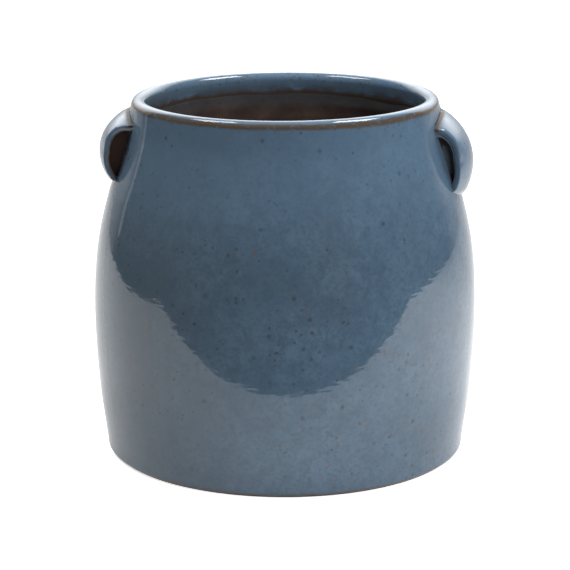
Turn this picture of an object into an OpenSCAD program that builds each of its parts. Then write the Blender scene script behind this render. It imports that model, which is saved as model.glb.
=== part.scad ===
// Round-shouldered stoneware vase with two strap ears, glazed outside and inside its neck.
// Millimetres. +Z is up, the vase's axis is Z, and its foot stands on the plane z = 0.

/* [Body] */
// Height from the foot to the crown of the lip
vase_h = 224; // [216:1:240]
// Diameter over the glaze at the belly
belly_d = 240; // [232:1:250]
// Height of the widest point of the belly
belly_z = 93; // [84:1:100]
// Diameter just above the rounded foot
foot_d = 226; // [216:1:230]
// Radius of the rounded corner at the foot
foot_round = 5; // [3:0.5:8]
// Thickness of the wall and of the lip, glaze included
wall_t = 9.2; // [8:0.1:12]

/* [Neck] */
// Diameter over the glaze at the upright collar under the lip
neck_d = 190.4; // [184:0.2:198]
// Height of the collar, from the shoulder's hollow curve to the crown of the lip
collar_h = 20; // [16:1:24]
// How far the glaze runs down inside the neck, below the crown
glaze_depth = 17; // [12:1:20]
// Thickness of the fired glaze
glaze_t = 0.5; // [0.3:0.1:0.8]

/* [Floor] */
// Width of the ring that the vase stands on
foot_ring_w = 10; // [8:1:14]
// Depth of the turned hollow under the floor
foot_hollow = 4; // [2:0.5:5]
// Thickness of the floor
floor_t = 9; // [7:0.5:11]

/* [Ears] */
// Width of an ear along the shoulder
ear_w = 62.6; // [50:0.2:70]
// Thickness of an ear's clay strap, glaze included
ear_t = 4.4; // [4:0.1:5.2]
// How far the right ear stands out from the wall
ear_right_out = 13.1; // [12:0.1:15]
// Height of the right ear's lower edge
ear_right_low = 161.6; // [158:0.2:166]
// Height of the right ear's upper edge
ear_right_high = 215.6; // [212:0.2:217]
// How much less the right ear's arch rises at its two ends than at its middle
ear_right_drop = 8.8; // [6:0.2:10]
// How far the left ear stands out from the wall
ear_left_out = 13.4; // [12:0.1:15]
// Height of the left ear's lower edge
ear_left_low = 170; // [168:0.2:172]
// Height of the left ear's upper edge
ear_left_high = 216; // [213:0.2:217]
// How much less the left ear's arch rises at its two ends than at its middle
ear_left_drop = 6; // [4:0.2:7]
// Turn of the pair of ears about the vase's axis, away from the X axis
ear_turn = -2.4; // [-5:0.1:5]
// Depth of the fillet of clay worked in under an ear's upper edge
luting_depth = 3; // [2:0.5:4]
// Width of the clay pressed into the middle of an ear, between its two finger hollows
ear_web = 50; // [40:1:54]

/* [Hidden] */
$fn = 96;

clay_colour = "#4a3a33";
glaze_colour = "#6d8396";

lip_r = wall_t / 2;                        // the lip is a full round
lip_mid_r = neck_d / 2 - lip_r;            // radius of the lip's crown
lip_mid_z = vase_h - lip_r;                // height of the lip's centre
glaze_foot_z = 2;                          // the glaze is wiped off below this height
glaze_foot_r = foot_d / 2 - foot_round     // radius of the rounded corner at that height
    + sqrt(foot_round^2 - (foot_round - glaze_foot_z)^2);
floor_z = foot_hollow + floor_t;           // height of the floor inside
floor_r = foot_d / 2 - wall_t;             // radius of the floor disc
ring_r = foot_d / 2 - foot_round - foot_ring_w;
curve_steps = 4;                           // straight steps between two stations of the wall
arc_steps = 12;                            // straight steps in a rounded corner
ear_steps = 8;                             // straight steps across an ear's arch
overrun = 2;                               // how far a cutter runs past the face it cuts

ear_back = neck_d / 2 - wall_t + 2;        // ear solids start here, inside the clay of the wall

// Stations up the glazed wall, as [radius, height]: a slow swell from the foot to the belly,
// a full round shoulder, and a hollow curve into the upright collar.
neck_r = neck_d / 2;
belly_r = belly_d / 2;
foot_r = foot_d / 2;
shoulder_in = belly_r - neck_r;            // how far the shoulder comes in, belly to neck
collar_z = vase_h - collar_h;
shoulder_h = collar_z - belly_z;
WALL = [[foot_r, foot_round],
        [foot_r + (belly_r - foot_r) * 0.7, foot_round + (belly_z - foot_round) * 0.45],
        [belly_r, belly_z],
        [belly_r - shoulder_in * 0.105, belly_z + shoulder_h * 0.345],
        [belly_r - shoulder_in * 0.39, belly_z + shoulder_h * 0.635],
        [belly_r - shoulder_in * 0.69, belly_z + shoulder_h * 0.83],
        [neck_r + 2.2, collar_z],
        [neck_r, lip_mid_z]];

// Slope of the wall, radius per height, at a station: that of the line between its neighbours
function slope(i) =
    let (a = WALL[max(i - 1, 0)], b = WALL[min(i + 1, len(WALL) - 1)])
    (b[0] - a[0]) / (b[1] - a[1]);

// Point on the wall a fraction t of the way from station i to the next: a cubic in height that
// meets both stations with their slopes
function wall_point(i, t) =
    let (a = WALL[i], b = WALL[i + 1], dz = b[1] - a[1])
    [(2 * t^3 - 3 * t^2 + 1) * a[0] + (t^3 - 2 * t^2 + t) * dz * slope(i)
     + (3 * t^2 - 2 * t^3) * b[0] + (t^3 - t^2) * dz * slope(i + 1),
     a[1] + t * dz];

// The wall's line from the foot to the lip, moved inwards by d
function wall_line(d) = [
    for (i = [0 : len(WALL) - 2], k = [0 : curve_steps - 1])
        wall_point(i, k / curve_steps) - [d, 0]];

// Radius over the glaze at height z: the straight step of the wall's line that holds z
function wall_r(z) = lookup(z, [for (p = concat(wall_line(0), [WALL[len(WALL) - 1]])) [p[1], p[0]]]);

// Arc about c from angle a to angle b
function arc(c, r, a, b) = [
    for (k = [0 : arc_steps]) let (t = a + (b - a) * k / arc_steps) c + r * [cos(t), sin(t)]];

// The rounded corner at the foot, from the ground up to the wall. It is moved inwards by d at
// the wall, and by nothing at the ground.
function foot_corner(d) = [
    for (k = [0 : arc_steps]) let (t = 90 * (k / arc_steps - 1))
        [foot_r - foot_round + (foot_round - d) * cos(t), foot_round + foot_round * sin(t)]];

// The full round of the lip, moved inwards by d, from the outside over the crown to the inside
function lip_arc(d) = arc([lip_mid_r, lip_mid_z], lip_r - d, 0, 180);

// Solid of revolution inside the wall's outer line, moved inwards by d: the vase with no hollow
module full_body(d) {
    rotate_extrude()
        polygon(concat([[0, 0]], foot_corner(d), wall_line(d), [[neck_r - d, lip_mid_z],
                       [neck_r - d, vase_h + overrun], [0, vase_h + overrun]]));
}

// The wall's inner line from the lip's inside down to the floor
function inner_line() = let (up = wall_line(wall_t - glaze_t), n = len(up))
    [for (k = [1 : n]) if (up[n - k][1] > floor_z + foot_round) up[n - k]];

// Wall, collar and lip, with the ring it stands on and a rebate for the floor disc
module clay_wall() {
    color(clay_colour)
        rotate_extrude()
            polygon(concat([[ring_r, 0]], foot_corner(glaze_t), wall_line(glaze_t), lip_arc(glaze_t),
                           inner_line(), [[floor_r, floor_z + foot_round], [floor_r, foot_hollow],
                           [ring_r, foot_hollow]]));
}

// Floor disc, which lies in the wall's rebate above the foot's hollow
module clay_floor() {
    color(clay_colour)
        translate([0, 0, foot_hollow])
            cylinder(r = floor_r, h = floor_t);
}

// Ring between the glazed surface and the clay, over the lip and down inside the neck
module glaze_ring() {
    rotate_extrude()
        difference() {
            polygon(concat([[lip_mid_r, glaze_foot_z], [glaze_foot_r, glaze_foot_z]],
                           [for (p = foot_corner(0)) if (p[1] > glaze_foot_z) p], wall_line(0),
                           lip_arc(0), [[neck_r - wall_t, vase_h - glaze_depth],
                           [lip_mid_r, vase_h - glaze_depth]]));
            polygon(concat([[0, -overrun], [foot_r - foot_round, -overrun]], foot_corner(glaze_t),
                           wall_line(glaze_t), lip_arc(glaze_t),
                           [[neck_r - wall_t + glaze_t, vase_h - glaze_depth - overrun],
                            [0, vase_h - glaze_depth - overrun]]));
        }
}

// Ear settings, as [lower edge, upper edge, how far out, drop at the ends, turn about Z]
EAR_RIGHT = [ear_right_low, ear_right_high, ear_right_out, ear_right_drop, ear_turn];
EAR_LEFT = [ear_left_low, ear_left_high, ear_left_out, ear_left_drop, ear_turn + 180];

// An ear's arch is the circle through its two edges on the wall and its furthest point
function arch_chord(e) = [wall_r(e[1]), e[1]] - [wall_r(e[0]), e[0]];
function arch_r(e) = let (c = norm(arch_chord(e)) / 2) (c^2 + e[2]^2) / (2 * e[2]);
function arch_centre(e) =
    let (c = arch_chord(e), mid = [wall_r(e[0]), e[0]] + c / 2, out = [c[1], -c[0]] / norm(c))
    mid - out * (arch_r(e) - e[2]);

// Barrel about a level line along the shoulder, whose radius is the arch's at the middle and
// drops along a circle towards its two ends. It is moved inwards by d, and runs past by extra.
module ear_barrel(e, d = 0, extra = 0) {
    c = arch_centre(e);
    r = arch_r(e);
    half = ear_w / 2;
    crown_r = (half^2 + e[3]^2) / (2 * e[3]);
    end_r = r - crown_r + sqrt((crown_r - d)^2 - half^2);
    edge = [for (k = [0 : ear_steps]) let (y = half * (2 * k / ear_steps - 1))
            [r - crown_r + sqrt((crown_r - d)^2 - y^2), y]];
    run = extra == 0 ? [] : [[end_r, half + extra], [0, half + extra],
                             [0, -half - extra], [end_r, -half - extra]];
    rotate([0, 0, e[4]])
        intersection() {
            translate([c[0], 0, c[1]])
                rotate([90, 0, 0])
                    rotate_extrude()
                        polygon(concat(edge, extra == 0 ? [[0, half], [0, -half]] : run));
            translate([ear_back, -ear_w, 0])
                cube([belly_r, 2 * ear_w, vase_h]);
        }
}

// The ear's inner arch again, moved down by the fillet of luting clay above it
module lowered_arch(e) {
    translate([0, 0, -luting_depth])
        ear_barrel(e, ear_t, overrun);
}

// The middle slice of an ear's hollow, which is pressed full of clay
module middle_slice(e) {
    rotate([0, 0, e[4]])
        translate([ear_back, -ear_web / 2, 0])
            cube([belly_r, ear_web, vase_h]);
}

// The clear ways into an ear from its two ends, below the fillet of luting clay
module ear_ways(e) {
    difference() {
        intersection() {
            ear_barrel(e, ear_t, overrun);
            lowered_arch(e);
        }
        middle_slice(e);
    }
}

// Bent strap of clay, open at both ends, cut to sit on the clay wall
module ear_strap(e) {
    difference() {
        ear_barrel(e, glaze_t);
        ear_barrel(e, ear_t, overrun);
        full_body(glaze_t);
    }
}

// Soft clay inside the ear: a fillet under the strap's upper edge and the web in the middle
module ear_filling(e) {
    difference() {
        ear_barrel(e, ear_t);
        difference() {
            lowered_arch(e);
            middle_slice(e);
        }
        full_body(glaze_t);
    }
}

// Glaze on the strap's outer face
module ear_glaze(e) {
    difference() {
        ear_barrel(e);
        ear_barrel(e, glaze_t, overrun);
        full_body(0);
    }
}

// Glaze on the wall, open where the ears are joined to the clay
module glaze_coat() {
    color(glaze_colour)
        difference() {
            glaze_ring();
            for (e = [EAR_LEFT, EAR_RIGHT])
                difference() {
                    ear_barrel(e, glaze_t);
                    ear_ways(e);
                }
        }
}

module ear_left() {
    color(clay_colour) ear_strap(EAR_LEFT);
}

module ear_right() {
    color(clay_colour) ear_strap(EAR_RIGHT);
}

module ear_left_luting() {
    color(clay_colour) ear_filling(EAR_LEFT);
}

module ear_right_luting() {
    color(clay_colour) ear_filling(EAR_RIGHT);
}

module glaze_ear_left() {
    color(glaze_colour) ear_glaze(EAR_LEFT);
}

module glaze_ear_right() {
    color(glaze_colour) ear_glaze(EAR_RIGHT);
}

clay_wall();
clay_floor();
glaze_coat();
ear_left();
ear_left_luting();
glaze_ear_left();
ear_right();
ear_right_luting();
glaze_ear_right();
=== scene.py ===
"""Round-shouldered stoneware vase with two strap ears, blue-grey glaze over dark brown clay.

Metres, +Z up, the vase's axis is Z and it stands on z = 0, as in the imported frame.
"""

import math

import bpy
import numpy as np
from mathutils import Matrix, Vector


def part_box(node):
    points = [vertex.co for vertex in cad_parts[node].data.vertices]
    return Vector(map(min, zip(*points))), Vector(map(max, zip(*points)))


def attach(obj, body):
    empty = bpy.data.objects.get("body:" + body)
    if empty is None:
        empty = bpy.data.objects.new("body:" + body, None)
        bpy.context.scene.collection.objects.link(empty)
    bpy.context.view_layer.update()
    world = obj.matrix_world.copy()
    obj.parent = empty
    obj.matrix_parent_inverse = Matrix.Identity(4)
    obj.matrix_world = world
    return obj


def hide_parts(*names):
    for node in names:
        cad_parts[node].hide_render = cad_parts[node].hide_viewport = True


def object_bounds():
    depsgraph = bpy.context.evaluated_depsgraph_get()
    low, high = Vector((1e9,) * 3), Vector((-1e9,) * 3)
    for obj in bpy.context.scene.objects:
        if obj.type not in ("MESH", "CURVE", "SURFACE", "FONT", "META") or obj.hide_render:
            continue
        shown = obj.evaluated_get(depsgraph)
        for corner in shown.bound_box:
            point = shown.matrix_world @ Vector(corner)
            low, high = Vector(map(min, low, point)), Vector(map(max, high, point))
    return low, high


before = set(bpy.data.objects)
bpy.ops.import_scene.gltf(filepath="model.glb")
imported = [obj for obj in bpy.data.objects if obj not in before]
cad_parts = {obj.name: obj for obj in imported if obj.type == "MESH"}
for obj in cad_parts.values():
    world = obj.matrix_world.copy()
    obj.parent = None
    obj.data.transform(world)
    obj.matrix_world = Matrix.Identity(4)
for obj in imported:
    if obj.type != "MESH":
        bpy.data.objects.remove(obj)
cad_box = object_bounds()
MM = 0.001
TAU = 2 * math.pi

# ---------------------------------------------------------------- sizes, from the frame

HIGH = Vector(cad_box[1])
BELLY_R = HIGH.x
HEIGHT = HIGH.z
BELLY_Z = HEIGHT * 0.415
FOOT_R = BELLY_R * 0.9417
FOOT_ROUND = 5 * MM
NECK_R = BELLY_R * 0.7933
COLLAR_Z = HEIGHT - 20 * MM
WALL_T = 9.2 * MM
GLAZE_T = 0.5 * MM
GLAZE_FOOT_Z = 2 * MM
GLAZE_DEPTH = 17 * MM
LIP_R = WALL_T / 2
LIP_MID_R = NECK_R - LIP_R
LIP_MID_Z = HEIGHT - LIP_R
FLOOR_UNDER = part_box("clay_floor")[0].z
FLOOR_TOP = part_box("clay_floor")[1].z
FLOOR_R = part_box("clay_floor")[1].x
FOOT_RING_R = FOOT_R - FOOT_ROUND - 10 * MM

EAR_W = 62.6 * MM
EAR_T = 4.4 * MM
EAR_TURN = math.radians(-2.4)
WEB = 50 * MM

# The slot in each ear's end, as its start and end down the strap from the upper edge, its start
# and end across from the wall to the strap, and its squareness
SLOT = {"right": (0.20, 0.90, -0.15, 0.82, 2.8), "left": (0.17, 1.0, -0.25, 0.93, 2.6)}

# Stations up the glazed wall, as (radius, height)
SHOULDER_IN = BELLY_R - NECK_R
SHOULDER_H = COLLAR_Z - BELLY_Z
STATIONS = np.array([
    (FOOT_R, FOOT_ROUND),
    (FOOT_R + (BELLY_R - FOOT_R) * 0.7, FOOT_ROUND + (BELLY_Z - FOOT_ROUND) * 0.45),
    (BELLY_R, BELLY_Z),
    (BELLY_R - SHOULDER_IN * 0.105, BELLY_Z + SHOULDER_H * 0.345),
    (BELLY_R - SHOULDER_IN * 0.39, BELLY_Z + SHOULDER_H * 0.635),
    (BELLY_R - SHOULDER_IN * 0.69, BELLY_Z + SHOULDER_H * 0.83),
    (NECK_R + 2.2 * MM, COLLAR_Z),
    (NECK_R, LIP_MID_Z),
])


# ---------------------------------------------------------------- shape of the thrown wall

def smooth(x, a, b):
    """0 below a, 1 above b, and 3t^2 - 2t^3 between, with t the share of the way from a to b."""
    t = np.clip((x - a) / (b - a), 0, 1)
    return t * t * (3 - 2 * t)


def wall_radius(z):
    """Radius over the glaze at height z: a cubic between stations that keeps each one's slope."""
    r, h = STATIONS[:, 0], STATIONS[:, 1]
    before, after = np.maximum(np.arange(len(h)) - 1, 0), np.minimum(np.arange(len(h)) + 1, len(h) - 1)
    slope = (r[after] - r[before]) / (h[after] - h[before])
    z = np.clip(z, h[0], h[-1])
    i = np.clip(np.searchsorted(h, z) - 1, 0, len(h) - 2)
    dz = h[i + 1] - h[i]
    t = (z - h[i]) / dz
    return ((2 * t**3 - 3 * t**2 + 1) * r[i] + (t**3 - 2 * t**2 + t) * dz * slope[i]
            + (3 * t**2 - 2 * t**3) * r[i + 1] + (t**3 - t**2) * dz * slope[i + 1])


def throwing(turn, z):
    """Hand-thrown unevenness, in metres inwards: slow waves round the wall, and a shallow
    spiral of finger rings, one for each 11 mm of height, that fades and returns."""
    slow = (np.sin(2 * turn + 9 * z + 0.6) + 0.5 * np.sin(3 * turn - 13 * z + 2.1)
            + 0.2 * np.sin(5 * turn + 21 * z + 4.0))
    ring = np.sin(z / (11 * MM) * TAU + turn) * (0.6 + 0.4 * np.sin(2 * turn + 40 * z))
    return (0.07 * (slow + 2) + 0.007 * (ring + 1)) * MM


LIP_DROP = 1.1 * MM


def lean(points):
    """The lip is a little lower on the left: height drops with the distance left of the right
    edge, from nothing at the belly to its most at the lip."""
    x, z = points[..., 0], points[..., 2]
    points[..., 2] -= LIP_DROP * (1 - x / BELLY_R) / 2 * smooth(z, BELLY_Z, HEIGHT)
    return points


# ---------------------------------------------------------------- ears: where they meet the wall

class Ear:
    """Strap ear. In its own frame x points out from the vase's axis and y runs along the
    shoulder. Its arch is a circle in x and z whose radius falls towards the two edges, and
    falls less at their upper corner, which bulges. Out is how far the arch stands off the
    straight line between its ends, drop is how far its outer face falls from the middle to an
    edge, bulge is how far the upper corners stand out, and thinning is the share of its
    thickness that the strap loses on its way down."""

    def __init__(self, side, out, drop, bulge, thinning):
        self.side, self.bulge, self.thinning = side, bulge, thinning
        self.turn = EAR_TURN + (0 if side == "right" else math.pi)
        self.half = EAR_W / 2
        low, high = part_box("glaze_ear_" + side)
        foot = np.array([wall_radius(low.z), low.z])
        head = np.array([wall_radius(high.z), high.z])
        chord = head - foot
        span = np.linalg.norm(chord)
        self.radius = ((span / 2)**2 + out**2) / (2 * out)
        away = np.array([chord[1], -chord[0]]) / span
        self.centre = (foot + head) / 2 - away * (self.radius - out)
        self.crown = (self.half**2 + drop**2) / (2 * drop)

    def arch(self, y, depth):
        """Radius of the arch at y, at a depth below its outer face, and the radius's slope."""
        fall = np.sqrt((self.crown - depth)**2 - y**2)
        return self.radius - self.crown + fall, -y / fall

    def place(self, y, phi, depth):
        """Point at y and at angle phi up from straight out, at a depth below the outer face."""
        corner = smooth(phi, 0.15, 0.75) * smooth(phi, 1.35, 0.95)
        r = self.arch(y, depth)[0] + self.bulge * (y / self.half)**2 * corner
        return np.stack([self.centre[0] + r * np.cos(phi), y + 0 * phi,
                         self.centre[1] + r * np.sin(phi)], -1)

    def gap(self, p):
        """Distance out from the glazed wall, measured level, of a point in the ear's frame."""
        return np.hypot(p[..., 0], p[..., 1]) - wall_radius(p[..., 2])

    def meeting(self, y, depth, sink, up):
        """Angle at which the arch at y comes to the wall's surface less sink: the first of many
        small steps up (or down) that lies inside it."""
        steps = np.linspace(0, 2.7, 1350) * (1 if up else -1)
        inside = self.gap(self.place(y[:, None], steps[None], depth)) < -sink
        return steps[np.argmax(inside, axis=1)]

    def seam(self):
        """Points along the outer face's upper seam with the wall, in the vase's frame."""
        y = np.linspace(-self.half + 4 * MM, self.half - 4 * MM, 61)
        return self.to_vase(self.place(y, self.meeting(y, 0, 0, True), 0))

    def to_vase(self, p):
        """Turns points from the ear's frame to the vase's."""
        c, s = math.cos(self.turn), math.sin(self.turn)
        return np.stack([c * p[..., 0] - s * p[..., 1], s * p[..., 0] + c * p[..., 1], p[..., 2]], -1)


EARS = [Ear("right", out=13.1 * MM, drop=8.8 * MM, bulge=3.4 * MM, thinning=0.12),
        Ear("left", out=13.4 * MM, drop=6.0 * MM, bulge=2.6 * MM, thinning=0.35)]


FILLET = 0.7 * MM
FILLET_W = 3.2 * MM


def fillet(turn, z):
    """Clay worked into the upper seams of the ears, as height above the wall: a bell curve of
    the distance to the nearest point of the seam."""
    height = np.zeros_like(turn)
    for ear in EARS:
        seam = ear.seam()
        seam_turn = np.arctan2(seam[:, 1], seam[:, 0])
        near = np.abs((turn - ear.turn + math.pi) % TAU - math.pi) < 0.5
        near &= (z > seam[:, 2].min() - 12 * MM)
        around = (turn[near][:, None] - seam_turn[None] + math.pi) % TAU - math.pi
        along = around * wall_radius(z[near])[:, None]
        distance = np.sqrt((along**2 + (z[near][:, None] - seam[None, :, 2])**2).min(axis=1))
        height[near] = np.maximum(height[near], FILLET * np.exp(-(distance / FILLET_W)**2))
    return height


# ---------------------------------------------------------------- meshes from grids

def grid_faces(rows, columns, close_rows, close_columns, first=0):
    """Quads over a grid of rows x columns points, closed on itself where asked."""
    index = np.arange(rows * columns).reshape(rows, columns) + first
    if close_rows:
        index = np.concatenate([index, index[:1]])
    if close_columns:
        index = np.concatenate([index, index[:, :1]], axis=1)
    return np.stack([index[:-1, :-1], index[:-1, 1:], index[1:, 1:], index[1:, :-1]], -1).reshape(-1, 4)


def make_piece(name, points, quads, material, replaced, caps=()):
    """Smooth-shaded object from points and quads, with one face across each end that closes it."""
    mesh = bpy.data.meshes.new(name)
    faces = quads.tolist() + [list(ring) for ring in caps]
    mesh.from_pydata(points.reshape(-1, 3).tolist(), [], faces)
    mesh.validate()
    mesh.polygons.foreach_set("use_smooth", np.ones(len(mesh.polygons), bool))
    mesh.materials.append(material)
    piece = bpy.data.objects.new(name, mesh)
    bpy.context.scene.collection.objects.link(piece)
    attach(piece, "root")
    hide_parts(*replaced)
    return piece


def paint(piece, name, values):
    """Stores one number for each point of a piece, for its material to read."""
    attribute = piece.data.attributes.new(name, "FLOAT", "POINT")
    attribute.data.foreach_set("value", np.ascontiguousarray(values.reshape(-1), np.float32))


def spin(radius, z, turn):
    """Points at each radius and height (one row each), swung round the axis by each turn."""
    return np.stack([radius * np.cos(turn), radius * np.sin(turn), z + 0 * turn], -1)


def stretch(a, b, count):
    """Evenly spaced values from a up to, but not including, b."""
    return a + (b - a) * np.arange(count) / count


# ---------------------------------------------------------------- shader maths

class Value:
    """A socket that takes arithmetic: each operator adds one Math node."""

    def __init__(self, shader, socket):
        self.shader, self.socket = shader, socket

    def _math(self, operation, a, b):
        return self.shader.node("ShaderNodeMath", {"operation": operation}, {0: a, 1: b})

    def __add__(self, other):
        return self._math("ADD", self, other)

    def __sub__(self, other):
        return self._math("SUBTRACT", self, other)

    def __rsub__(self, other):
        return self._math("SUBTRACT", other, self)

    def __mul__(self, other):
        return self._math("MULTIPLY", self, other)

    def __truediv__(self, other):
        return self._math("DIVIDE", self, other)

    def most(self, other):
        return self._math("MAXIMUM", self, other)

    __radd__ = __add__
    __rmul__ = __mul__


class Graph:
    """The nodes of a material or of the world, emptied, and one call that adds a node."""

    def __init__(self, owner):
        owner.use_nodes = True
        self.tree = owner.node_tree
        self.tree.nodes.clear()

    def feed(self, socket, value):
        """Links a Value to a socket, or sets a plain number or colour on it."""
        if isinstance(value, Value):
            self.tree.links.new(value.socket, socket)
        elif hasattr(socket.default_value, "__len__") and len(value) < len(socket.default_value):
            socket.default_value = (*value, 1.0)
        else:
            socket.default_value = value

    def node(self, kind, settings=None, inputs=None, out=0):
        """Adds a node: first its settings, then its sockets."""
        node = self.tree.nodes.new(kind)
        for key, value in (settings or {}).items():
            setattr(node, key, value)
        for key, value in (inputs or {}).items():
            self.feed(node.inputs[key], value)
        return None if out is None else Value(self, node.outputs[out])

    def band(self, value, a, b):
        """0 where value is at a, 1 at b, and smooth between."""
        return self.node("ShaderNodeMapRange", {"interpolation_type": "SMOOTHSTEP"},
                         {"Value": value, "From Min": a, "From Max": b})

    def mix(self, share, a, b):
        """Colour a with a share of colour b."""
        return self.node("ShaderNodeMix", {"data_type": "RGBA"}, {0: share, 6: a, 7: b}, out=2)


class Shader(Graph):
    """A material with one Principled shader, and short calls for the nodes behind it."""

    def __init__(self, name):
        self.material = bpy.data.materials.new(name)
        super().__init__(self.material)
        self.surface = self.tree.nodes.new("ShaderNodeBsdfPrincipled")
        output = self.tree.nodes.new("ShaderNodeOutputMaterial")
        self.tree.links.new(self.surface.outputs[0], output.inputs["Surface"])
        self.place = self.node("ShaderNodeTexCoord", out="Object")

    def stretched(self, x, y, z):
        """The place on the object, scaled along each axis."""
        return self.node("ShaderNodeMapping", {"vector_type": "POINT"},
                         {"Vector": self.place, "Scale": (x, y, z)})

    def noise(self, scale, detail=2.0, rough=0.5, warp=0.0, at=None):
        """Noise from 0 to 1, with a given number of lumps for each metre."""
        return self.node("ShaderNodeTexNoise", {"noise_dimensions": "3D"},
                         {"Vector": at or self.place, "Scale": scale, "Detail": detail,
                          "Roughness": rough, "Distortion": warp})

    def height(self):
        """Height above the ground."""
        return self.node("ShaderNodeSeparateXYZ", None, {0: self.place}, out="Z")

    def painted(self, name):
        """A number stored on the piece's points."""
        return self.node("ShaderNodeAttribute", {"attribute_name": name}, out="Fac")

    def bump(self, value, distance, strength=1.0, after=None):
        """Bumps by value times distance, in metres, on top of an earlier bump."""
        inputs = {"Height": value, "Distance": distance, "Strength": strength}
        if after:
            inputs["Normal"] = after
        return self.node("ShaderNodeBump", None, inputs)

    def set(self, **inputs):
        """Feeds the Principled shader's inputs, with _ in a name for a space."""
        for key, value in inputs.items():
            self.feed(self.surface.inputs[key.replace("_", " ")], value)


def dots(s, per_metre, share, size, seed, core=0.45):
    """Scattered round specks: 1 inside the core of a cell that is chosen, 0 past its size.
    A cell of a Voronoi pattern is chosen when its random colour is under the share."""
    moved = s.node("ShaderNodeMapping", {"vector_type": "POINT"},
                   {"Vector": s.place, "Location": (seed, seed * 0.7, seed * 0.3)})
    cell = s.node("ShaderNodeTexVoronoi", {"feature": "F1"},
                  {"Vector": moved, "Scale": per_metre, "Randomness": 1.0}, out="Distance")
    pick = s.node("ShaderNodeTexVoronoi", {"feature": "F1"},
                  {"Vector": moved, "Scale": per_metre, "Randomness": 1.0}, out="Color")
    lot = s.node("ShaderNodeSeparateColor", None, {0: pick}, out=0)
    other = s.node("ShaderNodeSeparateColor", None, {0: pick}, out=1)
    wide = other * size + size * 0.35
    return s.band(cell / wide, 1.0, core) * s.band(lot, share + 0.001, share)


# ---------------------------------------------------------------- finishes

BLUE = (0.067, 0.112, 0.165)
BLUE_DEEP = (0.052, 0.084, 0.122)
BLUE_MILKY = (0.088, 0.140, 0.200)
BLUE_LIT_FROM_ABOVE = (0.100, 0.165, 0.245)
BLUE_GREY = (0.066, 0.088, 0.105)
SLATE = (0.045, 0.058, 0.070)
IRON_BROWN = (0.105, 0.075, 0.045)
IRON_LIP = (0.082, 0.060, 0.040)
IRON_SOFT = (0.048, 0.046, 0.042)
# Dark iron: the colour of the real specks, and also painted shade in the creases and seams at the ears
DARK_IRON_AND_SHADE = (0.030, 0.022, 0.016)
IRON_RUST = (0.150, 0.075, 0.025)
CLAY = (0.040, 0.022, 0.017)
CLAY_LIGHT = (0.085, 0.058, 0.048)
CLAY_WARM = (0.050, 0.035, 0.030)


def glaze_colour(s):
    """Blue-grey glaze: milky, deep and greyish clouds, faint runs down the wall, a fine mottle,
    and iron specks that are dark, soft brown or rusty."""
    clouds = s.noise(34, 5.0, 0.7, 0.6)
    patches = s.noise(120, 4.0, 0.7)
    grey = s.noise(17, 3.0, 0.6, 0.8, at=s.stretched(1.0, 1.0, 0.6))
    runs = s.noise(1.0, 3.0, 0.6, at=s.stretched(110, 110, 16))
    mottle = s.noise(380, 3.0, 0.65)
    colour = s.mix(s.band(clouds, 0.35, 0.72), BLUE, BLUE_MILKY)
    colour = s.mix(s.band(runs, 0.48, 0.85) * 0.3, colour, BLUE_DEEP)
    colour = s.mix(s.band(grey, 0.52, 0.8) * 0.45, colour, BLUE_GREY)
    colour = s.mix(s.band(patches, 0.42, 0.70) * 0.6, colour, BLUE_DEEP)
    colour = s.mix(s.band(mottle, 0.42, 0.72) * 0.6, colour, BLUE_DEEP)
    # Greyer and a little darker towards the left side
    x_across = s.node("ShaderNodeSeparateXYZ", None, {0: s.place}, out="X")
    colour = s.mix(s.band(x_across, 0.02, -0.10) * 0.58, colour, BLUE_GREY)
    # Painted light: paler blue towards the top, where light from above falls on the shoulder and ears
    colour = s.mix(s.band(s.height(), 135 * MM, 212 * MM) * 0.45, colour, BLUE_LIT_FROM_ABOVE)
    thick = s.band(s.noise(14, 2.0), 0.3, 0.62)
    colour = s.mix(dots(s, 210, 0.30, 0.36, 3.1, 0.0) * thick * 0.8, colour, IRON_SOFT)
    colour = s.mix(dots(s, 330, 0.12, 0.30, 6.2) * thick * 0.45, colour, DARK_IRON_AND_SHADE)
    colour = s.mix(dots(s, 150, 0.07, 0.17, 9.4) * 0.55, colour, DARK_IRON_AND_SHADE)
    return s.mix(dots(s, 230, 0.08, 0.26, 5.7, 0.2) * thick * 0.8, colour, IRON_RUST)


def glaze_bump(s):
    """Soft ripple and fine orange peel of a glaze that has run and cooled."""
    ripple = s.bump(s.noise(1.0, 2.0, 0.5, at=s.stretched(110, 110, 200)), 0.022 * MM)
    return s.bump(s.noise(1.0, 1.0, 0.4, at=s.stretched(170, 170, 400)), 0.050 * MM, after=ripple)


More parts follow.
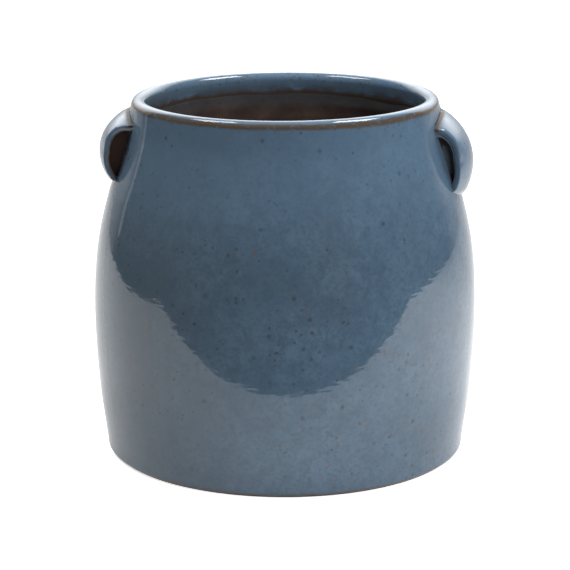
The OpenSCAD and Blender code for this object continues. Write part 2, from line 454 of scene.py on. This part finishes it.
def make_wall_glaze():
    """Glaze on the wall: breaks brown on the lip's outer edge, thins to slate inside the neck."""
    s = Shader("blue_glaze")
    z = s.height()
    wander = s.noise(45, 3.0, 0.6) - 0.5
    level = z + wander * (2.4 * MM)
    lip = s.band(level, HEIGHT - 6.4 * MM, HEIGHT - 4.4 * MM)
    lip = lip * s.band(level, HEIGHT - 1.7 * MM, HEIGHT - 2.6 * MM)
    lip = lip * s.painted("outside") * s.band(s.noise(320, 3.0, 0.6), 0.22, 0.48)
    freckles = s.band(level, HEIGHT - 10 * MM, HEIGHT - 4.5 * MM) * dots(s, 520, 0.35, 0.5, 1.3)
    foot = s.band(level, GLAZE_FOOT_Z + 1.6 * MM, GLAZE_FOOT_Z + 0.2 * MM)
    inside = s.painted("inside")
    colour = s.mix(inside * s.band(s.noise(70, 3.0), 0.25, 0.6) * 0.8, glaze_colour(s), SLATE)
    colour = s.mix((lip * 0.95).most(foot * 0.8).most(freckles * 0.6), colour, IRON_LIP)
    # Painted shade in the crease where each ear's upper seam meets the wall, over a dark glaze break
    crease = s.painted("crease") * s.band(s.noise(240, 3.0), 0.25, 0.5)
    colour = s.mix(crease, colour, DARK_IRON_AND_SHADE)
    ending = s.painted("glaze_end")
    ending = s.band(ending + (s.noise(160, 3.0, 0.6) - 0.5) * 0.9, 0.25, 0.75) * s.band(ending, 0.0, 0.12)
    colour = s.mix(ending, colour, CLAY_WARM)
    s.set(Base_Color=colour, IOR=1.55, Normal=glaze_bump(s),
          Roughness=s.band(s.noise(90), 0.2, 0.8) * 0.03 + 0.035 + ending * 0.4 + crease * 0.5)
    return s.material


def make_ear_glaze():
    """Glaze on the ears: thin and brown on the arrises, dark in the seam and the finger gap. The
    seam's dark is painted shade over a dark glaze break.
    """
    s = Shader("ear_glaze")
    ragged = s.band(s.noise(300, 3.0, 0.6), 0.25, 0.6)
    colour = glaze_colour(s)
    under = s.painted("under")
    colour = s.mix(under * s.band(s.noise(130, 3.0), 0.75, 0.5), colour, CLAY)
    colour = s.mix(s.painted("arris") * ragged, colour, IRON_BROWN)
    # Painted shade, over a dark glaze break, along the ear's upper seam with the wall
    seam = s.painted("seam") * s.band(s.noise(300, 3.0, 0.6), 0.15, 0.45)
    colour = s.mix(seam, colour, DARK_IRON_AND_SHADE)
    s.set(Base_Color=colour, IOR=1.55, Normal=glaze_bump(s), Roughness=under * 0.25 + 0.06 + seam * 0.5)
    return s.material


def make_luting():
    """Clay that fills the ears: glazed on the rim, brown on the slot's arris, bare and dark
    inside the slot, and slate in the middle of the right ear's slot."""
    s = Shader("luting_clay")
    bare = s.painted("bare")
    pooled = s.painted("pooled") * s.band(s.noise(200, 3.0), 0.2, 0.45)
    colour = s.mix(bare * (1.0 - pooled), glaze_colour(s), CLAY)
    colour = s.mix(pooled, colour, SLATE)
    colour = s.mix(s.painted("arris") * s.band(s.noise(300, 3.0, 0.6), 0.25, 0.6), colour, IRON_BROWN)
    s.set(Base_Color=colour, IOR=1.55, Roughness=bare * 0.35 + 0.07,
          Normal=s.bump(s.noise(500, 3.0, 0.6), 0.10 * MM, 0.4))
    return s.material


def make_bare_clay():
    """Unglazed dark stoneware: rough, gritty, with pale sand grains and iron spots."""
    s = Shader("bare_clay")
    colour = s.mix(s.band(s.noise(60, 4.0, 0.6), 0.35, 0.7), CLAY_WARM, CLAY_LIGHT)
    level = s.height() + (s.noise(120, 3.0, 0.6) - 0.5) * (14 * MM)
    splash = s.band(level, HEIGHT - 27 * MM, HEIGHT - 16 * MM)
    colour = s.mix(splash * 0.6, colour, SLATE)
    colour = s.mix(dots(s, 520, 0.10, 0.3, 2.2) * 0.6, colour, IRON_BROWN)
    colour = s.mix(dots(s, 400, 0.06, 0.3, 7.7) * 0.8, colour, DARK_IRON_AND_SHADE)
    grit = s.bump(s.noise(1500, 3.0, 0.6), 0.12 * MM, 0.6)
    s.set(Base_Color=colour, IOR=1.5, Normal=s.bump(s.noise(300, 3.0), 0.15 * MM, 0.5, after=grit),
          Roughness=s.band(s.noise(120), 0.2, 0.8) * 0.2 + 0.62)
    return s.material


WALL_GLAZE = make_wall_glaze()
EAR_GLAZE = make_ear_glaze()
LUTING = make_luting()
BARE_CLAY = make_bare_clay()


# ---------------------------------------------------------------- pieces

COLUMNS = 512
TURN = np.arange(COLUMNS) / COLUMNS * TAU


def lip_ring(inset, angles):
    """Radius and height round the full round of the lip, moved inwards by inset."""
    return LIP_MID_R + (LIP_R - inset) * np.cos(angles), LIP_MID_Z + (LIP_R - inset) * np.sin(angles)


def foot_ring(inset, angles):
    """Radius and height round the rounded corner at the foot, moved inwards by inset at the
    wall and by nothing at the ground."""
    return (FOOT_R - FOOT_ROUND + (FOOT_ROUND - inset) * np.cos(angles),
            FOOT_ROUND + FOOT_ROUND * np.sin(angles))


def line_up(inset, heights):
    """Radius and height up the wall's outer line, moved inwards by inset."""
    return wall_radius(heights) - inset, heights


def join(*stretches):
    """Radii and heights of several stretches of a profile, one after another."""
    return np.concatenate([s[0] for s in stretches]), np.concatenate([s[1] for s in stretches])


def hand_made(radius, z, outer):
    """Radii and heights as grids, with the wall's throwing marks and the fillets at the ears."""
    turn = np.broadcast_to(TURN[None], (len(z), COLUMNS))
    high = np.broadcast_to(z[:, None], turn.shape)
    marks = throwing(turn, high) * smooth(high, 0, 12 * MM)
    grown = radius[:, None] - marks
    if outer is not None:
        grown = grown + fillet(turn, high) * outer[:, None]
    return grown, high, turn


def build_glaze_coat():
    """Closed skin: up the outside, over the lip, down the neck to an uneven end, then back
    along the clay, 0.5 mm behind."""
    low_angle = math.asin((GLAZE_FOOT_Z - FOOT_ROUND) / FOOT_ROUND)
    heights = np.concatenate([stretch(FOOT_ROUND, 150 * MM, 62), stretch(150 * MM, LIP_MID_Z, 64)])
    front = join(foot_ring(0, stretch(low_angle, 0, 6)), line_up(0, heights),
                 lip_ring(0, stretch(0, math.pi, 20)))
    back_heights = np.concatenate([stretch(LIP_MID_Z, 150 * MM, 8), stretch(150 * MM, FOOT_ROUND, 4)])
    back = join(lip_ring(GLAZE_T, stretch(math.pi, 0, 6)), line_up(GLAZE_T, back_heights),
                foot_ring(GLAZE_T, stretch(0, low_angle * 1.1, 3)))
    lip_row = 6 + len(heights)
    outer = smooth(front[1], 140 * MM, 150 * MM) * (np.arange(len(front[1])) < lip_row)
    front_r, front_z, turn = hand_made(*front, outer)
    back_r, back_z, _ = hand_made(*back, None)

    def down_neck(rows, inset):
        """Rows from the lip's inner edge down to the glaze's wavy end, at an inset for each."""
        wave = np.sin(3 * TURN + 0.4) + 0.7 * np.sin(7 * TURN + 1.9) + 0.5 * np.sin(13 * TURN + 5.0)
        end = HEIGHT - GLAZE_DEPTH + 1.2 * MM - 0.55 * MM * wave[None]
        share = np.linspace(0, 1, rows)[:, None]
        z = LIP_MID_Z + (end - LIP_MID_Z) * share
        return wall_radius(z) - WALL_T + inset(share) - throwing(turn[:1], z), z, share

    neck_r, neck_z, share = down_neck(16, lambda t: GLAZE_T * (1 - np.sqrt(1 - smooth(t, 0.75, 1.0))))
    under_r, under_z, _ = down_neck(4, lambda t: GLAZE_T * 1.05 + 0 * t)
    radius = np.concatenate([front_r, neck_r, under_r[::-1], back_r])
    z = np.concatenate([front_z, neck_z, under_z[::-1], back_z])
    points = lean(spin(radius, z, TURN[None]))
    quads = grid_faces(len(radius), COLUMNS, True, True)
    piece = make_piece("blue_glaze_skin", points, quads, WALL_GLAZE, ["glaze_coat"])

    row = np.arange(len(radius))[:, None] + 0 * TURN[None]
    neck_row = (row - len(front_r)) / (len(neck_r) - 1)
    paint(piece, "outside", smooth(row, lip_row + 13, lip_row + 9))
    # Mask for painted shade, over a dark glaze break, in the crease along each ear's upper seam
    crease = np.zeros_like(radius)
    crease[:lip_row] = smooth(fillet(turn, front_z)[:lip_row] / FILLET, 0.55, 0.85)
    paint(piece, "crease", crease)
    paint(piece, "inside", smooth(neck_row, 0.0, 0.5))
    paint(piece, "glaze_end", smooth(neck_row, 0.2, 1.0))


def build_clay_wall():
    """Closed wall of clay behind the glaze: its inner face shows the finger rings."""
    inner_top = LIP_MID_Z
    outer_z = stretch(FOOT_ROUND, LIP_MID_Z, 30)
    inner_z = stretch(inner_top, FLOOR_TOP + 4 * MM, 110)
    behind = GLAZE_T * 1.1
    outer = join(foot_ring(behind, stretch(-math.pi / 2, 0, 8)), line_up(behind, outer_z),
                 lip_ring(behind, stretch(0, math.pi, 14)))
    outer_r, outer_h, turn = hand_made(*outer, None)
    glaze_end = HEIGHT - GLAZE_DEPTH
    covered = behind + (0.12 * MM - behind) * smooth(inner_z, glaze_end + 7 * MM, glaze_end + 4 * MM)
    inner_r, inner_h, inner_turn = hand_made(wall_radius(inner_z) - WALL_T + covered, inner_z, None)
    rings = 0.28 * MM * np.sin(inner_h / (9 * MM) * TAU + inner_turn)
    rings = rings * smooth(inner_h, inner_top, 190 * MM)
    corner_top = FLOOR_TOP + 16 * MM
    rounded = inner_r - (inner_r - FLOOR_R) * smooth(inner_h, corner_top, FLOOR_TOP)
    inner_r = np.where(inner_h < corner_top, rounded, inner_r)
    foot = np.array([(FLOOR_R, FLOOR_TOP + 1 * MM), (FLOOR_R, FLOOR_UNDER + 0.5 * MM),
                     (FLOOR_R, FLOOR_UNDER), (FOOT_RING_R + 1 * MM, FLOOR_UNDER),
                     (FOOT_RING_R, FLOOR_UNDER - 0.6 * MM),
                     (FOOT_RING_R, 0.8 * MM), (FOOT_RING_R + 0.8 * MM, 0.0)])
    foot_r = np.repeat(foot[:, :1], COLUMNS, 1)
    foot_z = np.repeat(foot[:, 1:], COLUMNS, 1)
    radius = np.concatenate([outer_r, inner_r + rings, foot_r])
    z = np.concatenate([outer_h, inner_h, foot_z])
    points = lean(spin(radius, z, TURN[None]))
    quads = grid_faces(len(radius), COLUMNS, True, True)
    make_piece("thrown_wall", points, quads, BARE_CLAY, ["clay_wall"])


def build_clay_floor():
    """Floor disc: a spiral finger groove above, from the middle out, and turning rings below.
    Rows run out from the middle of the top, over the edge, and in to the middle below."""
    steps = 90
    r_top = np.linspace(0.4 * MM, FLOOR_R - 0.1 * MM, steps)[:, None] + 0 * TURN[None]
    groove = 0.5 * MM * np.sin(r_top / (12 * MM) * TAU - TURN[None]) * smooth(r_top, 4 * MM, 20 * MM)
    z_top = FLOOR_TOP - 0.6 * MM + groove * smooth(r_top, FLOOR_R, FLOOR_R - 10 * MM)
    r_under = r_top[::-1]
    z_under = FLOOR_UNDER + 0.15 * MM * (1 + np.sin(r_under / (3.5 * MM) * TAU)) * smooth(
        r_under, FOOT_RING_R, FOOT_RING_R - 4 * MM)
    radius = np.concatenate([r_top, r_under])
    z = np.concatenate([z_top, z_under])
    points = spin(radius, z, TURN[None])
    quads = grid_faces(len(radius), COLUMNS, False, True)[:, ::-1]
    last = (len(radius) - 1) * COLUMNS
    caps = [range(COLUMNS), range(last + COLUMNS - 1, last - 1, -1)]
    make_piece("floor_disc", points, quads, BARE_CLAY, ["clay_floor"], caps)


def strap_section(half, thick):
    """Closed outline of the strap's section as (place along y, offset out, which edge): a long
    bar whose ends are superellipses, nearly square. Runs along the outer face, round one edge,
    back along the inner face and round the other edge."""
    flat = half - thick / 2
    face, edge = 70, 26
    angle = stretch(math.pi / 2, -math.pi / 2, edge)
    bend_y = np.abs(np.cos(angle))**0.45
    bend_out = np.sign(np.sin(angle)) * np.abs(np.sin(angle))**0.45
    y = np.concatenate([stretch(-flat, flat, face), np.full(edge, flat),
                        stretch(flat, -flat, face), np.full(edge, -flat)])
    past = np.concatenate([np.zeros(face), bend_y, np.zeros(face), -bend_y]) * thick / 2
    out = np.concatenate([np.ones(face), bend_out, -np.ones(face), -bend_out]) * thick / 2
    return y, past, out


def build_ear(ear):
    """Strap bent over its arch: its section is carried from the seam above to the seam below,
    thinning on the way, and both ends are sunk in the wall."""
    y, past, out = strap_section(ear.half, EAR_T)
    mid = EAR_T / 2
    start = ear.meeting(y, mid, 1.6 * MM, True)
    end = ear.meeting(y, mid, 2.6 * MM, False)
    steps = 170
    s = np.linspace(0, 1, steps)[:, None]
    phi = start[None] + (end - start)[None] * s
    slope = ear.arch(y[None] + 0 * phi, mid)[1]
    base = ear.place(y[None] + 0 * phi, phi, mid)
    cos, sin = np.cos(phi), np.sin(phi)
    normal = np.stack([cos, -slope, sin], -1) / np.sqrt(1 + slope**2)[..., None]
    tangent = np.stack([slope * cos, np.ones_like(phi), slope * sin], -1) / np.sqrt(1 + slope**2)[..., None]
    thin = 1 - ear.thinning * smooth(s, 0.3, 0.9)
    lumps = 0.10 * MM * (np.sin(5 * phi + 90 * y[None]) + np.sin(3 * phi - 160 * y[None] + 1.0))
    sunk = 1.6 * MM * smooth(s, 0.88, 1.0)
    offset = out[None] * thin + (out[None] > 0) * (lumps - 0.25 * MM - sunk)
    points = base + normal * offset[..., None] + tangent * (past[None] * (0.9 + 0.1 * thin))[..., None]
    gap = ear.gap(points)
    last = (steps - 1) * len(y)
    caps = [range(len(y) - 1, -1, -1), range(last, last + len(y))]
    replaced = ["ear_" + ear.side, "glaze_ear_" + ear.side]
    piece = make_piece("strap_" + ear.side, lean(ear.to_vase(points)),
                       grid_faces(steps, len(y), False, True), EAR_GLAZE, replaced, caps)
    at_edge = np.abs(past)[None] / (EAR_T / 2) + 0 * phi
    inner = (out[None] < 0) + 0 * phi
    paint(piece, "under", inner * smooth(at_edge, 0.9, 0.5) * smooth(gap, 0, 1 * MM))
    paint(piece, "arris", smooth(-out[None] / mid, 0.25, 0.6) * smooth(at_edge, 0.3, 0.7))
    upper = smooth(phi, 0.3, 0.8)
    # Mask for painted shade and a dark glaze break along the outer face's upper seam
    paint(piece, "seam", np.exp(-((gap - 1.2 * MM) / (2.1 * MM))**2) * upper * (out[None] > 0))


def build_filling(ear):
    """Clay inside the ear, from 1 mm inside the wall to 1 mm inside the strap. Its two end
    faces lie near the strap's ends round their rim. Inside a slot, which is a superellipse of
    the way down the strap and the way across from the wall, they go in."""
    rows, columns = 110, 40
    down = np.linspace(0, 1, rows)[:, None] + np.zeros((1, columns))
    across = np.linspace(0, 1, columns)[None] + 0 * down
    top, bottom, wall_side, strap_side, power = SLOT[ear.side]
    along = (down - (top + bottom) / 2) / ((bottom - top) / 2)
    aside = (across - (wall_side + strap_side) / 2) / ((strap_side - wall_side) / 2)
    edge = (np.abs(along)**power + np.abs(aside)**power)**(1 / power)
    slot = smooth(edge, 1.08, 0.84)
    depth = ear.half - 1.6 * MM - (ear.half - WEB / 2 - 1.6 * MM) * slot
    sheets = []
    for y in (-depth, depth):
        inner = EAR_T - 1 * MM
        start = ear.meeting(y.ravel(), inner, 1 * MM, True).reshape(y.shape)
        end = ear.meeting(y.ravel(), inner, 1 * MM, False).reshape(y.shape)
        strap = ear.place(y, start + (end - start) * down, inner)
        wall = strap.copy()
        wall[..., 0] = np.sqrt((wall_radius(strap[..., 2]) - 1 * MM)**2 - y**2)
        sheets.append(wall + (strap - wall) * across[..., None])
    near, far = (grid_faces(rows, columns, False, False, first) for first in (0, rows * columns))
    index = np.arange(rows * columns).reshape(rows, columns)
    rim = np.concatenate([index[0, :-1], index[:-1, -1], index[-1, :0:-1], index[:0:-1, 0]])
    behind, following = rim + rows * columns, np.roll(rim, -1)
    sides = np.stack([rim, following, following + rows * columns, behind], -1)
    points = lean(ear.to_vase(np.stack(sheets)))
    quads = np.concatenate([near[:, ::-1], far, sides[:, ::-1]])
    piece = make_piece("filling_" + ear.side, points, quads, LUTING,
                       ["ear_" + ear.side + "_luting"])
    both = np.ones((2, 1, 1))
    paint(piece, "bare", both * smooth(edge, 1.05, 0.95))
    # Slate in the middle of the right ear's slot
    paint(piece, "pooled", both * smooth(edge, 0.62, 0.4) * (ear.side == "right"))
    paint(piece, "arris", both * np.exp(-((edge - 1.02) / 0.09)**2))


build_glaze_coat()
build_clay_wall()
build_clay_floor()
for ear in EARS:
    build_ear(ear)
    build_filling(ear)


# ---------------------------------------------------------------- studio

# Brightness of what the glaze mirrors: the table on the left, and at the front on the right;
# the white paper at the table's height, and how much brighter it is higher up; the ceiling;
# and the dark room in front
TABLE_GLOW = 0.16
TABLE_GLOW_RIGHT = 0.95
PAPER_GLOW = 0.60
PAPER_RISE = 3.2
CEILING_GLOW = 0.5
ROOM_GLOW = 0.03


def add_light(name, place, target, width, height, power, mirrored=True):
    """Rectangular softbox at place, facing target. Flags hide it from the glaze's reflections
    where it stands in for light that came from all over the room."""
    lamp = bpy.data.lights.new(name, "AREA")
    lamp.shape, lamp.size, lamp.size_y, lamp.energy = "RECTANGLE", width, height, power
    light = bpy.data.objects.new(name, lamp)
    light.location = place
    light.rotation_euler = (Vector(target) - Vector(place)).to_track_quat("-Z", "Y").to_euler()
    light.visible_glossy = mirrored
    bpy.context.scene.collection.objects.link(light)


def build_floor():
    """White table that ends a little in front of the vase, so the glaze mirrors its edge."""
    outline = [(-0.85, -0.275), (1.0, -0.275), (1.5, 0.3), (2.2, 3.5),
               (-2.0, 3.5), (-1.07, 0.70), (-0.84, 0.10)]
    mesh = bpy.data.meshes.new("table_top")
    mesh.from_pydata([(x, y, 0.0) for x, y in outline], [], [range(len(outline))])
    table = bpy.data.objects.new("table_top", mesh)
    bpy.context.scene.collection.objects.link(table)
    s = Shader("white_table")
    seen = s.node("ShaderNodeLightPath", out="Is Camera Ray")
    grain = s.noise(40, 3.0)
    paint = s.mix(grain, (0.88, 0.88, 0.88), (0.92, 0.92, 0.92))
    right = s.node("ShaderNodeSeparateXYZ", None, {0: s.place}, out="X")
    back = s.node("ShaderNodeSeparateXYZ", None, {0: s.place}, out="Y")
    pool = s.band(right, -0.15, 0.55) * s.band(back, 0.5, -0.1)
    glow = s.mix(pool, (TABLE_GLOW,) * 3, (TABLE_GLOW_RIGHT,) * 3)
    s.set(Base_Color=s.mix(seen, (0.6, 0.6, 0.6), paint), Roughness=0.9,
          Emission_Color=s.mix(seen, glow, (0.8, 0.8, 0.8)), Emission_Strength=1.0)
    mesh.materials.append(s.material)


def build_world():
    """White paper behind and beside the vase, brighter higher up, a pale ceiling and a dark
    room in front. The camera sees white."""
    world = bpy.data.worlds.new("studio")
    bpy.context.scene.world = world
    g = Graph(world)
    direction = g.node("ShaderNodeTexCoord", out="Generated")
    right = g.node("ShaderNodeSeparateXYZ", None, {0: direction}, out="X")
    back = g.node("ShaderNodeSeparateXYZ", None, {0: direction}, out="Y")
    up = g.node("ShaderNodeSeparateXYZ", None, {0: direction}, out="Z")
    behind = back + right * 0.05
    paper = g.band(behind, 0.46, 0.64) * (g.band(behind, 0.45, 0.98) * 0.6 + 0.4)
    paper = paper * (g.band(up, -0.02, 0.50) * PAPER_RISE + PAPER_GLOW)
    ceiling = g.band(up, 0.72, 0.95) * CEILING_GLOW
    room = paper.most(ceiling).most(ROOM_GLOW)
    seen = g.node("ShaderNodeLightPath", out="Is Camera Ray")
    light = g.node("ShaderNodeBackground", None, {"Color": (1.0, 1.0, 1.0), "Strength": room.most(seen)})
    g.node("ShaderNodeOutputWorld", None, {"Surface": light}, out=None)


def build_camera():
    """Long lens, a little above the lip, looking at the belly's middle."""
    lens = bpy.data.cameras.new("camera")
    lens.sensor_width, lens.lens = 36.0, 139.9
    lens.clip_start, lens.clip_end = 0.05, 50
    camera = bpy.data.objects.new("camera", lens)
    camera.location = (0, -1.353, 0.4505)
    aim = Vector((0, 0, 0.1024)) - camera.location
    camera.rotation_euler = aim.to_track_quat("-Z", "Y").to_euler()
    bpy.context.scene.collection.objects.link(camera)
    bpy.context.scene.camera = camera


build_camera()
build_floor()
build_world()
add_light("softbox_left", (-0.72, 0.15, 1.6), (0, 0, 0.15), 0.55, 0.5, 9)
add_light("softbox_right", (0.72, 0.15, 1.6), (0, 0, 0.15), 0.55, 0.5, 14)
add_light("front_fill", (1.15, -1.75, 1.15), (0, 0, 0.12), 1.0, 1.0, 41, mirrored=False)
add_light("top_fill", (-0.65, 0.15, 1.45), (0, 0, 0.15), 0.8, 0.8, 12, mirrored=False)
add_light("strip_left", (-1.25, 0.72, 0.45), (0, 0, 0.3), 0.07, 0.7, 0.075)
bpy.context.scene.view_settings.view_transform = "Standard"
